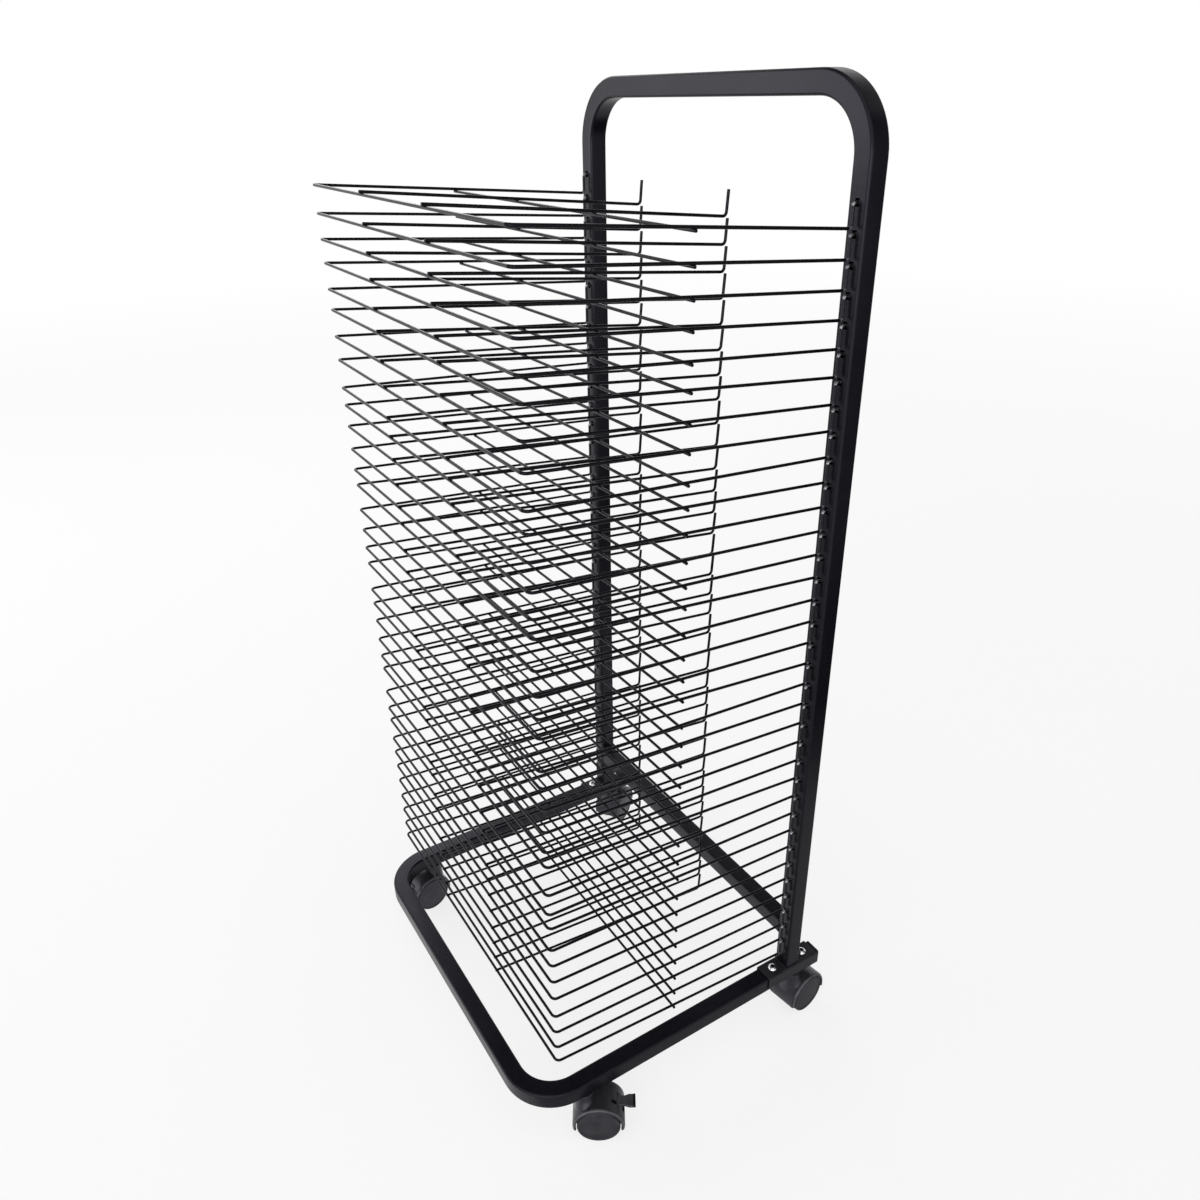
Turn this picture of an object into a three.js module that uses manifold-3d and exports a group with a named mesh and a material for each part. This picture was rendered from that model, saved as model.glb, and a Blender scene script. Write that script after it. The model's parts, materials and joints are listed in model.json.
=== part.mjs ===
// A mobile drying rack for paintings. A bent tube frame on four twin-wheel casters carries a stack of
// wire shelves. Each shelf hooks into two slots in the uprights and can be swung up at the front.
// Millimetres, +Z up. The open front is towards -Y and the origin is on the floor under the base.
import * as THREE from 'three';
import { mergeVertices } from 'three/addons/utils/BufferGeometryUtils.js';
import Module from 'manifold-3d';

// Frame tubes
const TUBE = 21;
const TUBE_WALL = 1.5;
const TUBE_EDGE = 2.5;
const BEND_STEPS = 6;
const FRAME_SPACING = 432;
const FRAME_HEIGHT = 1078;
const HANDLE_BEND = 56;
const BASE_LENGTH = 419.5;
const BASE_BACK = 203.25;
const BASE_TOP = 86;
const BASE_BEND = 51;
const UPRIGHT_SETBACK = 45;
const CROSSBAR_Z = 142.5;

// Foot plates, which sit over the base like saddles, their screws and the plugs in the ends of the base
const FOOT_LENGTH = 78;
const FOOT_THICKNESS = 1.6;
const FOOT_FLANGE = 16;
const FOOT_GAP = 0.3;
const SCREW_SPREAD = 48;
const SCREW_RADIUS = 3;
const SCREW_HEAD_RADIUS = 5.8;
const SCREW_HEAD_HEIGHT = 3.2;
const SCREW_CROWN_RADIUS = 4;
const SCREW_LENGTH = 9;
const SCREW_RECESS_RADIUS = 2.3;
const SCREW_RECESS_DEPTH = 1.8;
const SCREW_SIDES = 10;
const PLUG_FLANGE = 2.5;
const PLUG_DEPTH = 12;

// Wire shelves
const SHELF_COUNT = 35;
const SHELF_PITCH = 25;
const LOWEST_SHELF = 108.5;
const SHELF_DEPTH = 319.5;
const SHELF_TILT = 4.3;
const TILT_TREND = 0.33;
const SHELF_CORNER = 5;
const WIRE = 3;
const WELD_SINK = 0.5;
const DEPTH_WIRE_X = FRAME_SPACING / 6;
const DEPTH_WIRE_BACK = 17.5;
const CROSS_WIRE_AT = 163.5;
const WIRE_STUB = 2.5;
const BACK_STOP = 21;
const BACK_STOP_BEND = 4;

// The upper shelves stand a little steeper, a few sit high or low in their slots, and the rest waver slightly
const HIGH_SHELVES = [6, 14, 18, 24, 35];
const LOW_SHELVES = [9, 19, 25, 26, 28];
const HIGH_BY = 0.85;
const LOW_BY = -0.75;
const WAVER = 0.2;
const WAVER_STEP = 1.9;

// Shelf hooks and the slots that they hang in
const HOOK_RISE = 20;
const HOOK_GAP = 2.8;
const HOOK_BEND = 1.8;
const HEEL_BEND = 3;
const HOOK_REACH = 7;
const HOOK_TIP = 6;
const SLOT_WIDTH = 4.8;
const SLOT_HEIGHT = 6.8;

// Casters
const WHEEL_RADIUS = 25;
const WHEEL_SIDES = 18;
const WHEEL_INNER = 3.4;
const WHEEL_OUTER = 20.4;
const WHEEL_EDGE = 1.8;
const CASTER_TRAIL = 16;
const HOOD_RADIUS = 30;
const HOOD_WALL = 2.2;
const HOOD_WIDTH = 42;
const HOOD_DROP = 10;
const HOOD_STEPS = 6;
const WEB_THICKNESS = 5.6;
const AXLE_RADIUS = 3.2;
const AXLE_LENGTH = 32;
const AXLE_SIDES = 10;
const BOSS_RADIUS = 11;
const BOSS_TOP = 64;
const STEM_RADIUS = 4;
const STEM_TOP = 75;
const STEM_SIDES = 12;
const RUNNING_GAP = 0.2;
const FRONT_STEM_INSET = 73.5;
const REAR_STEM_INSET = 37;

// Brake levers on the two front casters
const LEVER_WIDTH = 15;
const LEVER_REACH = 19.5;
const LEVER_THICKNESS = 3.5;
const LEVER_PIVOT_ANGLE = 40;
const SHOE_ANGLE = 18;
const SHOE_GAP = 0.5;
const SHOE_THICKNESS = 2;
const SHOE_STEPS = 5;
const LEVER_SLOT_FROM = 10;
const LEVER_SLOT_TO = 56;
const LEVER_SLOT_GAP = 0.7;

// The way each caster points at rest: the heading of its wheels from its stem, in degrees from +X
const CASTERS = [
  { name: 'front_right', side: 1, front: true, heading: 58 },
  { name: 'front_left', side: -1, front: true, heading: -81 },
  { name: 'rear_right', side: 1, front: false, heading: 98 },
  { name: 'rear_left', side: -1, front: false, heading: 122 },
];

const UPRIGHT_X = FRAME_SPACING / 2;
const BASE_FRONT = BASE_BACK - BASE_LENGTH;
const UPRIGHT_Y = BASE_BACK - UPRIGHT_SETBACK;
const UPRIGHT_FACE = UPRIGHT_Y - TUBE / 2;
const BASE_Z = BASE_TOP - TUBE / 2;
const FOOT_TOP = BASE_TOP + FOOT_THICKNESS;
const FOOT_WIDTH = TUBE + 2 * (FOOT_GAP + FOOT_THICKNESS);
const PIVOT_Y = UPRIGHT_FACE + TUBE_WALL / 2;
const HOOK_STANDOFF = TUBE_WALL / 2 + HOOK_GAP + WIRE / 2;
const CUT_MARGIN = 2;
const HEX_SIDES = 6;
const MERGE_DISTANCE = 1e-4;

const powderCoat = new THREE.MeshStandardMaterial({ color: 0x1b1b1e, roughness: 0.45, metalness: 0.2 });
const coatedWire = new THREE.MeshStandardMaterial({ color: 0x101012, roughness: 0.5, metalness: 0.2 });
const hoodPlastic = new THREE.MeshStandardMaterial({ color: 0x2a2a2d, roughness: 0.55, metalness: 0 });
const wheelPlastic = new THREE.MeshStandardMaterial({ color: 0x343437, roughness: 0.6, metalness: 0 });
const plugPlastic = new THREE.MeshStandardMaterial({ color: 0x161618, roughness: 0.6, metalness: 0 });
const zincScrew = new THREE.MeshStandardMaterial({ color: 0xc6c9cd, roughness: 0.3, metalness: 1 });

const wasm = await Module();
wasm.setup();

const radians = THREE.MathUtils.degToRad;
const point = (x, y, z) => new THREE.Vector3(x, y, z);

// A closed solid, ready to be joined or cut
function solid(geometry) {
  const bare = geometry.clone();
  bare.deleteAttribute('normal');
  bare.deleteAttribute('uv');
  const merged = mergeVertices(bare, MERGE_DISTANCE);
  const corners = merged.index.array;
  const kept = [];
  for (let i = 0; i < corners.length; i += 3) {
    const [a, b, c] = corners.slice(i, i + 3);
    if (a !== b && b !== c && c !== a) {
      kept.push(a, b, c);
    }
  }
  const vertProperties = new Float32Array(merged.attributes.position.array);
  return new wasm.Manifold(new wasm.Mesh({ numProp: 3, vertProperties, triVerts: new Uint32Array(kept) }));
}

function join(...pieces) {
  return pieces.reduce((whole, piece) => whole.add(piece));
}

function cut(whole, ...tools) {
  return tools.reduce((rest, tool) => rest.subtract(tool), whole);
}

function named(name, shape, material) {
  const cutMesh = shape.getMesh();
  const geometry = new THREE.BufferGeometry();
  geometry.setAttribute('position', new THREE.BufferAttribute(cutMesh.vertProperties, 3));
  geometry.setIndex(new THREE.BufferAttribute(cutMesh.triVerts, 1));
  geometry.computeVertexNormals();
  const mesh = new THREE.Mesh(geometry, material);
  mesh.name = name;
  return mesh;
}

// A path through given points, with its section turned halfway at each of them
class BentPath extends THREE.Curve {
  constructor(points) {
    super();
    this.points = points;
  }

  getPoint(t, target = point()) {
    return target.copy(this.points[Math.round(t * (this.points.length - 1))]);
  }

  getPointAt(t, target) {
    return this.getPoint(t, target);
  }

  getSpacedPoints() {
    return this.points;
  }

  getTangentAt(t, target = point()) {
    const last = this.points.length - 1;
    const at = Math.round(t * last);
    const run = (i) => this.points[i + 1].clone().sub(this.points[i]).normalize();
    const into = run(Math.max(at - 1, 0));
    const out = run(Math.min(at, last - 1));
    return target.copy(into).add(out).normalize();
  }
}

// The points of a bent wire or tube: each corner with a radius becomes an arc
function bentPoints(corners) {
  const points = [];
  corners.forEach(({ at, radius, steps }, i) => {
    if (!radius) {
      points.push(at);
      return;
    }
    const into = at.clone().sub(corners[i - 1].at).normalize();
    const out = corners[i + 1].at.clone().sub(at).normalize();
    const turn = into.angleTo(out);
    const inward = out.clone().addScaledVector(into, -out.dot(into)).normalize();
    const start = at.clone().addScaledVector(into, -radius * Math.tan(turn / 2));
    for (let k = 0; k <= steps; k += 1) {
      const angle = (turn * k) / steps;
      const along = radius * Math.sin(angle);
      const across = radius * (1 - Math.cos(angle));
      points.push(start.clone().addScaledVector(into, along).addScaledVector(inward, across));
    }
  });
  return points;
}

function swept(section, corners) {
  const points = bentPoints(corners);
  return new THREE.ExtrudeGeometry(section, {
    steps: points.length - 1,
    extrudePath: new BentPath(points),
  });
}

function plainSquare(shape, width) {
  const x = width / 2;
  shape.moveTo(x, -x);
  shape.lineTo(x, x);
  shape.lineTo(-x, x);
  shape.lineTo(-x, -x);
  shape.closePath();
  return shape;
}

// A square section with the area of a round wire
function wireSection() {
  return plainSquare(new THREE.Shape(), (WIRE * Math.sqrt(Math.PI)) / 2);
}

function chamferedBox(width, length, edge) {
  const shape = new THREE.Shape();
  const x = width / 2;
  const y = length / 2;
  shape.moveTo(x, -y + edge);
  shape.lineTo(x, y - edge);
  shape.lineTo(x - edge, y);
  shape.lineTo(-x + edge, y);
  shape.lineTo(-x, y - edge);
  shape.lineTo(-x, -y + edge);
  shape.lineTo(-x + edge, -y);
  shape.lineTo(x - edge, -y);
  shape.closePath();
  return shape;
}

function tubeSection() {
  const section = chamferedBox(TUBE, TUBE, TUBE_EDGE);
  section.holes.push(plainSquare(new THREE.Path(), TUBE - 2 * TUBE_WALL));
  return section;
}

function box(width, depth, height, x, y, z) {
  return solid(new THREE.BoxGeometry(width, depth, height).translate(x, y, z));
}

// A round bar standing on z
function bar(radius, sides, bottom, top, x, y) {
  const geometry = new THREE.CylinderGeometry(radius, radius, top - bottom, sides);
  return solid(geometry.rotateX(Math.PI / 2).translate(x, y, (bottom + top) / 2));
}

// An outline in X and Z, as thick as given along Y about the middle
function slab(outline, thickness, roundSteps = 1) {
  const geometry = new THREE.ExtrudeGeometry(outline, {
    depth: thickness,
    bevelEnabled: false,
    curveSegments: roundSteps,
  });
  return geometry.rotateX(Math.PI / 2).translate(0, thickness / 2, 0);
}

const shelfZ = (number) => LOWEST_SHELF + (SHELF_COUNT - number) * SHELF_PITCH;
const hookZ = (number) => shelfZ(number) + HOOK_RISE;
const SIDES = [1, -1];

// One tube bent over the top, with a column of hook slots in the front wall of each leg
function uprightFrame() {
  const corner = (x) => ({
    at: point(x, UPRIGHT_Y, FRAME_HEIGHT - TUBE / 2),
    radius: HANDLE_BEND,
    steps: BEND_STEPS,
  });
  const tube = solid(swept(tubeSection(), [
    { at: point(UPRIGHT_X, UPRIGHT_Y, FOOT_TOP) },
    corner(UPRIGHT_X),
    corner(-UPRIGHT_X),
    { at: point(-UPRIGHT_X, UPRIGHT_Y, FOOT_TOP) },
  ]));
  const slots = [];
  for (let number = 1; number <= SHELF_COUNT; number += 1) {
    for (const side of SIDES) {
      const depth = TUBE_WALL + CUT_MARGIN;
      slots.push(box(SLOT_WIDTH, depth, SLOT_HEIGHT, side * UPRIGHT_X, PIVOT_Y, hookZ(number)));
    }
  }
  return cut(tube, ...slots);
}

function crossbar() {
  const reach = UPRIGHT_X - TUBE / 2;
  return solid(swept(tubeSection(), [
    { at: point(-reach, UPRIGHT_Y, CROSSBAR_Z) },
    { at: point(reach, UPRIGHT_Y, CROSSBAR_Z) },
  ]));
}

const screwPlaces = SIDES.map((end) => UPRIGHT_Y + (end * SCREW_SPREAD) / 2);
const stemY = (caster) => (caster.front ? BASE_FRONT + FRONT_STEM_INSET : BASE_BACK - REAR_STEM_INSET);

// A U of tube lying flat, with stem holes below and screw holes above
function baseFrame() {
  const front = BASE_FRONT + TUBE / 2;
  const back = BASE_BACK - PLUG_FLANGE;
  const corner = (x) => ({ at: point(x, front, BASE_Z), radius: BASE_BEND, steps: BEND_STEPS });
  const tube = solid(swept(tubeSection(), [
    { at: point(UPRIGHT_X, back, BASE_Z) },
    corner(UPRIGHT_X),
    corner(-UPRIGHT_X),
    { at: point(-UPRIGHT_X, back, BASE_Z) },
  ]));
  const bottom = BASE_TOP - TUBE;
  const stemHoles = CASTERS.map((caster) => bar(
    STEM_RADIUS + RUNNING_GAP, STEM_SIDES, bottom - CUT_MARGIN, bottom + TUBE_WALL + CUT_MARGIN,
    caster.side * UPRIGHT_X, stemY(caster),
  ));
  const screwHoles = SIDES.flatMap((side) => screwPlaces.map((y) => bar(
    SCREW_RADIUS + RUNNING_GAP, SCREW_SIDES, BASE_TOP - TUBE_WALL - CUT_MARGIN, BASE_TOP + CUT_MARGIN,
    side * UPRIGHT_X, y,
  )));
  return cut(tube, ...stemHoles, ...screwHoles);
}

function endPlug(side) {
  const flange = slab(chamferedBox(TUBE, TUBE, TUBE_EDGE), PLUG_FLANGE);
  const bore = TUBE - 2 * TUBE_WALL - 2 * RUNNING_GAP;
  const spigot = slab(chamferedBox(bore, bore, TUBE_WALL), PLUG_DEPTH + PLUG_FLANGE / 2);
  const x = side * UPRIGHT_X;
  return join(
    solid(flange.translate(x, BASE_BACK - PLUG_FLANGE / 2, BASE_Z)),
    solid(spigot.translate(x, BASE_BACK - PLUG_FLANGE / 2 - PLUG_DEPTH / 2, BASE_Z)),
  );
}

// A plate bent down over both sides of the base
function footPlate(side) {
  const x = side * UPRIGHT_X;
  const outer = chamferedBox(FOOT_WIDTH, 2 * (FOOT_FLANGE + FOOT_THICKNESS), FOOT_THICKNESS);
  const whole = solid(slab(outer, FOOT_LENGTH).translate(x, UPRIGHT_Y, BASE_TOP - FOOT_FLANGE));
  const cutLength = FOOT_LENGTH + CUT_MARGIN;
  const cutZ = BASE_TOP - 2 * FOOT_FLANGE;
  const room = box(TUBE + 2 * FOOT_GAP, cutLength, 4 * FOOT_FLANGE, x, UPRIGHT_Y, cutZ);
  const below = box(FOOT_WIDTH + CUT_MARGIN, cutLength, 2 * FOOT_FLANGE, x, UPRIGHT_Y, cutZ);
  const plate = cut(whole, room, below);
  const holes = screwPlaces.map((y) => bar(
    SCREW_RADIUS + RUNNING_GAP, SCREW_SIDES, BASE_TOP - CUT_MARGIN, FOOT_TOP + CUT_MARGIN, x, y,
  ));
  return cut(plate, ...holes);
}

// A button-head screw, standing on its own head seat
function footScrew() {
  const profile = [
    [0, -SCREW_LENGTH],
    [SCREW_RADIUS, -SCREW_LENGTH],
    [SCREW_RADIUS, 0],
    [SCREW_HEAD_RADIUS, 0],
    [SCREW_HEAD_RADIUS, SCREW_HEAD_HEIGHT / 2],
    [SCREW_CROWN_RADIUS, SCREW_HEAD_HEIGHT],
    [0, SCREW_HEAD_HEIGHT],
  ].map(([r, z]) => new THREE.Vector2(r, z));
  const screw = solid(new THREE.LatheGeometry(profile, SCREW_SIDES).rotateX(Math.PI / 2));
  const recessFloor = SCREW_HEAD_HEIGHT - SCREW_RECESS_DEPTH;
  return cut(screw, bar(SCREW_RECESS_RADIUS, HEX_SIDES, recessFloor, SCREW_HEAD_HEIGHT + CUT_MARGIN, 0, 0));
}

function shelfTilt(number) {
  const trend = TILT_TREND * (1 - (2 * (number - 1)) / (SHELF_COUNT - 1));
  const usual = SHELF_TILT + trend + WAVER * Math.sin(WAVER_STEP * number);
  if (HIGH_SHELVES.includes(number)) {
    return usual + HIGH_BY;
  }
  if (LOW_SHELVES.includes(number)) {
    return usual + LOW_BY;
  }
  return usual;
}

// One welded shelf about its pivot: the outer wire with its hooks, two depth wires whose back ends
// turn up as stops, and a cross wire under them
function shelf(number) {
  const tilt = radians(shelfTilt(number));
  // Places on the shelf: across, out from the heel of the hook, and up from the plane of the outer wire
  const place = (x, out, up) => point(
    x,
    -HOOK_STANDOFF - out * Math.cos(tilt) + up * Math.sin(tilt),
    -HOOK_RISE + out * Math.sin(tilt) + up * Math.cos(tilt),
  );
  const half = (x) => [
    { at: point(x, HOOK_REACH, HOOK_TIP) },
    { at: point(x, HOOK_REACH, 0), radius: HOOK_BEND, steps: 1 },
    { at: point(x, -HOOK_STANDOFF, 0), radius: HOOK_BEND, steps: 1 },
    { at: place(x, 0, 0), radius: HEEL_BEND, steps: 1 },
    { at: place(x, SHELF_DEPTH, 0), radius: SHELF_CORNER, steps: 1 },
  ];
  const outer = swept(wireSection(), [...half(-UPRIGHT_X), ...half(UPRIGHT_X).reverse()]);

  const lift = WIRE - WELD_SINK;
  const rise = (out) => (lift * (out - CROSS_WIRE_AT)) / (SHELF_DEPTH - CROSS_WIRE_AT);
  const depthWire = (x) => swept(wireSection(), [
    { at: place(x, SHELF_DEPTH + WIRE_STUB, rise(SHELF_DEPTH)) },
    { at: place(x, DEPTH_WIRE_BACK, rise(DEPTH_WIRE_BACK)), radius: BACK_STOP_BEND, steps: 1 },
    { at: place(x, DEPTH_WIRE_BACK, BACK_STOP) },
  ]);
  const crossWire = swept(wireSection(), [
    { at: place(-UPRIGHT_X - WIRE_STUB, CROSS_WIRE_AT, -lift) },
    { at: place(UPRIGHT_X + WIRE_STUB, CROSS_WIRE_AT, -lift) },
  ]);
  const depthWires = SIDES.map((side) => solid(depthWire(side * DEPTH_WIRE_X)));
  return join(solid(outer), ...depthWires, solid(crossWire));
}

// Places on a caster about its axle: along its heading and up
const aboutAxle = (radius, angle) => [
  radius * Math.cos(radians(angle)),
  radius * Math.sin(radians(angle)),
];

// The sector of a ring about the axle, from one angle to another
function ringSector(inner, outer, from, to) {
  const shape = new THREE.Shape();
  shape.absarc(0, 0, outer, radians(from), radians(to), false);
  shape.absarc(0, 0, inner, radians(to), radians(from), true);
  shape.closePath();
  return shape;
}

// A hood over both wheels with a web, an axle and a swivelling stem in one piece, about the axle
function casterHood(braked) {
  const inside = HOOD_RADIUS - HOOD_WALL;
  const middle = HOOD_RADIUS - HOOD_WALL / 2;
  const from = -HOOD_DROP;
  const to = 180 + HOOD_DROP;
  const shell = solid(slab(ringSector(inside, HOOD_RADIUS, from, to), HOOD_WIDTH, HOOD_STEPS));
  const room = solid(new THREE.CylinderGeometry(middle, middle, HOOD_WIDTH, 4 * HOOD_STEPS));
  const boss = cut(bar(BOSS_RADIUS, STEM_SIDES, 0, BOSS_TOP - WHEEL_RADIUS, -CASTER_TRAIL, 0), room);
  const webOutline = new THREE.Shape();
  webOutline.absarc(0, 0, middle, radians(from), radians(to), false);
  webOutline.closePath();
  const web = solid(slab(webOutline, WEB_THICKNESS, HOOD_STEPS));
  const axle = solid(new THREE.CylinderGeometry(AXLE_RADIUS, AXLE_RADIUS, AXLE_LENGTH, AXLE_SIDES));
  const neckStart = BOSS_TOP - WHEEL_RADIUS - CUT_MARGIN;
  const stem = bar(STEM_RADIUS, STEM_SIDES, neckStart, STEM_TOP - WHEEL_RADIUS, -CASTER_TRAIL, 0);
  const body = join(shell, boss, web, axle, stem);
  if (!braked) {
    return body;
  }
  const slotOuter = HOOD_RADIUS + HOOD_WALL;
  const slotOutline = ringSector(inside - HOOD_WALL, slotOuter, LEVER_SLOT_FROM, LEVER_SLOT_TO);
  return cut(body, solid(slab(slotOutline, LEVER_WIDTH + 2 * LEVER_SLOT_GAP, HOOD_STEPS / 2)));
}

// A wheel about its axle, with its inner face towards the web and a closed outer face
function casterWheel() {
  const corner = WHEEL_RADIUS / Math.cos(Math.PI / WHEEL_SIDES);
  const bore = AXLE_RADIUS + RUNNING_GAP;
  const boreEnd = AXLE_LENGTH / 2 + RUNNING_GAP;
  const profile = [
    [0, boreEnd],
    [bore, boreEnd],
    [bore, WHEEL_INNER],
    [corner, WHEEL_INNER],
    [corner, WHEEL_OUTER - WHEEL_EDGE],
    [corner - WHEEL_EDGE, WHEEL_OUTER],
    [0, WHEEL_OUTER],
  ].map(([r, out]) => new THREE.Vector2(r, out));
  return solid(new THREE.LatheGeometry(profile, WHEEL_SIDES, Math.PI / WHEEL_SIDES));
}

// A foot lever with a shoe that hangs between the hood and the treads, about the axle
function brakeLever() {
  const shoeInner = WHEEL_RADIUS / Math.cos(Math.PI / WHEEL_SIDES) + SHOE_GAP;
  const shoe = ringSector(shoeInner, shoeInner + SHOE_THICKNESS, SHOE_ANGLE, LEVER_PIVOT_ANGLE);
  const [pivotX, pivotZ] = aboutAxle(HOOD_RADIUS, LEVER_PIVOT_ANGLE);
  const [root] = aboutAxle(shoeInner + SHOE_THICKNESS / 2, LEVER_PIVOT_ANGLE);
  const length = pivotX + LEVER_REACH - root;
  const tab = box(length, LEVER_WIDTH, LEVER_THICKNESS, root + length / 2, 0, pivotZ - LEVER_THICKNESS / 2);
  return join(solid(slab(shoe, LEVER_WIDTH, SHOE_STEPS)), tab);
}

const rack = new THREE.Group();
rack.add(named('upright_frame', uprightFrame(), powderCoat));
rack.add(named('crossbar', crossbar(), powderCoat));
rack.add(named('base_frame', baseFrame(), powderCoat));

SIDES.forEach((side) => {
  const hand = side > 0 ? 'right' : 'left';
  rack.add(named(`foot_plate_${hand}`, footPlate(side), powderCoat));
  rack.add(named(`end_plug_${hand}`, endPlug(side), plugPlastic));
  screwPlaces.forEach((y, i) => {
    const screw = named(`foot_screw_${hand}_${i === 0 ? 'rear' : 'front'}`, footScrew(), zincScrew);
    screw.position.set(side * UPRIGHT_X, y, FOOT_TOP);
    rack.add(screw);
  });
});

for (let number = 1; number <= SHELF_COUNT; number += 1) {
  const wires = named(`shelf_${String(number).padStart(2, '0')}`, shelf(number), coatedWire);
  wires.position.set(0, PIVOT_Y, hookZ(number));
  rack.add(wires);
}

CASTERS.forEach((caster) => {
  const swivel = new THREE.Group();
  swivel.position.set(caster.side * UPRIGHT_X, stemY(caster), 0);
  swivel.rotation.z = radians(caster.heading);
  const axle = new THREE.Group();
  axle.position.set(CASTER_TRAIL, 0, WHEEL_RADIUS);
  swivel.add(axle);
  axle.add(named(`caster_${caster.name}_hood`, casterHood(caster.front), hoodPlastic));
  SIDES.forEach((side) => {
    const wheel = named(`caster_${caster.name}_wheel_${side > 0 ? 'a' : 'b'}`, casterWheel(), wheelPlastic);
    wheel.rotation.z = side > 0 ? 0 : Math.PI;
    axle.add(wheel);
  });
  if (caster.front) {
    axle.add(named(`brake_lever_${caster.name}`, brakeLever(), hoodPlastic));
  }
  rack.add(swivel);
});

export default rack;
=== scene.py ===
import json
import math

import bmesh
import bpy
from mathutils import Matrix, Vector


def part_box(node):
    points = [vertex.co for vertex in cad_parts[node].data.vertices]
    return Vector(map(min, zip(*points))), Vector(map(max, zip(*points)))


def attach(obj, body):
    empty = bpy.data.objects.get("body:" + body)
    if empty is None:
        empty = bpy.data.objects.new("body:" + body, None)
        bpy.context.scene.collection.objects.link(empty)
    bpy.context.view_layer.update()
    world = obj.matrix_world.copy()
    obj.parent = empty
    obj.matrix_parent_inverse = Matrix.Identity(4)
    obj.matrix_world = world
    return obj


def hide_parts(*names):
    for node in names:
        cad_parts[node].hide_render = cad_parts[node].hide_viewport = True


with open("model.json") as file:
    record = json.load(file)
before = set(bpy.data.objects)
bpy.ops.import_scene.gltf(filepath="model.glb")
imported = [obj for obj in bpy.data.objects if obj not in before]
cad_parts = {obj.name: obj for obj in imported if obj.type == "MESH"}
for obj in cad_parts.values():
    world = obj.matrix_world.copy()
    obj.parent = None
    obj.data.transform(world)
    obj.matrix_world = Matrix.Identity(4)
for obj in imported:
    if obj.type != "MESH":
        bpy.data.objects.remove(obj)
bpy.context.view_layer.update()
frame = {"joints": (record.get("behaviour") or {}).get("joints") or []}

# Sizes are in millimetres, and each finished mesh is scaled to metres
MM = 0.001
MERGE = 0.001
SIDES = {"right": 1, "left": -1}
ALONG_Y = Vector((0, 1, 0))
UP = Vector((0, 0, 1))
SMOOTH_ANGLE = math.radians(38)

joints = {joint["name"]: joint for joint in frame["joints"]}


def joint_place(name):
    """Where a joint is, in millimetres."""
    return Vector(joints[name]["pos_m"]) / MM


def node_box(name):
    """The lowest and highest corners of a solid, in millimetres."""
    return [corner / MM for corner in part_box(name)]


frame_low, frame_high = node_box("upright_frame")
base_low, base_high = node_box("base_frame")
bar_low, bar_high = node_box("crossbar")

# Frame tubes
TUBE = base_high.z - base_low.z
TUBE_WALL = 1.5
TUBE_EDGE = 2.6
EDGE_STEPS = 4
BEND_STEPS = 18
HANDLE_BEND = 56.0
BASE_BEND = 51.0
UPRIGHT_X = base_high.x - TUBE / 2
UPRIGHT_Y = (frame_low.y + frame_high.y) / 2
FOOT_TOP = frame_low.z
HANDLE_Z = frame_high.z - TUBE / 2
BASE_Z = (base_low.z + base_high.z) / 2
CROSSBAR_Z = (bar_low.z + bar_high.z) / 2

# Feet, their screws and the plugs of the base
FOOT_THICKNESS = 1.6
FOOT_SHOULDER = 2.4
FOOT_EDGE = 0.5
SCREW_SPREAD = 48.0
SCREW_ENDS = {"rear": 1, "front": -1}
SCREW_DOME = ((5.8, 0.0), (5.8, 0.7), (5.6, 1.3), (5.0, 2.1), (4.1, 2.8), (3.3, 3.15), (3.0, 3.2))
SCREW_STEPS = 32
SOCKET_RADIUS = 2.4
SOCKET_DEPTH = 1.8
HEX_SIDES = 6
PLUG_PILLOW = ((1.5, 1.0), (0.6, 0.96), (0.3, 0.86), (0.1, 0.6))
PLUG_DEPTH = 12.0
PLUG_TIP = 2.0

# Welds of the frame
FOOT_BEAD = 1.7
BAR_BEAD = 1.6
BEAD_WAVER = 0.2
BEADS_A_SIDE = 8

# Wire shelves
SHELF_COUNT = 35
SHELF_PITCH = 25.0
SHELF_DEPTH = 319.5
SHELF_TILT = 4.3
TILT_TREND = 0.33
SHELF_CORNER = 5.0
HIGH_SHELVES = (6, 14, 18, 24, 35)
LOW_SHELVES = (9, 19, 25, 26, 28)
HIGH_BY = 0.85
LOW_BY = -0.75
WAVER = 0.2
WAVER_STEP = 1.9
WIRE = 3.0
WIRE_SIDES = 10
WIRE_BEND_STEPS = 5
CUT_END = ((0.25, 0.72),)
WELD_SINK = 0.5
WELD_BEAD = 1.5
DEPTH_WIRE_X = UPRIGHT_X / 3
DEPTH_WIRE_BACK = 17.5
CROSS_WIRE_AT = 163.5
WIRE_STUB = 2.5
BACK_STOP = 21.0
BACK_STOP_BEND = 4.0
HOOK_RISE = 20.0
HOOK_BEND = 1.8
HEEL_BEND = 3.0
HOOK_REACH = 7.0
HOOK_TIP = 6.0
HOOK_STANDOFF = 5.05
SLOT_HEIGHT = 6.8

# Casters
WHEEL_RADIUS = 25.0
WHEEL_STEPS = 64
AXLE_RADIUS = 3.2
AXLE_LENGTH = 32.0
WHEEL_OUTLINE = (
    (3.4, 16.2), (3.4, 3.4), (22.0, 3.4), (23.6, 3.8), (24.6, 4.8), (25.0, 6.4), (25.0, 18.6), (24.8, 19.6),
    (24.4, 20.15), (23.7, 20.4), (22.7, 20.3), (22.2, 19.7), (21.8, 19.5), (21.1, 19.6), (14.0, 20.1),
    (8.0, 20.3), (3.0, 20.4), (0.0, 20.4),
)
HOOD_RADIUS = 30.0
HOOD_WALL = 3.0
HOOD_HALF_OUTLINE = (
    (8.2, 0.0), (17.2, 0.0), (18.5, 0.25), (19.5, 0.8), (20.3, 1.6), (20.8, 2.6), (21.0, 3.6),
)
# Outline points of the hood between these drops get a painted highlight along the rolled rim
RIM = "painted_rim_highlight"
RIM_HIGHLIGHT_DROPS = (0.5, 2.0)
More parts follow.
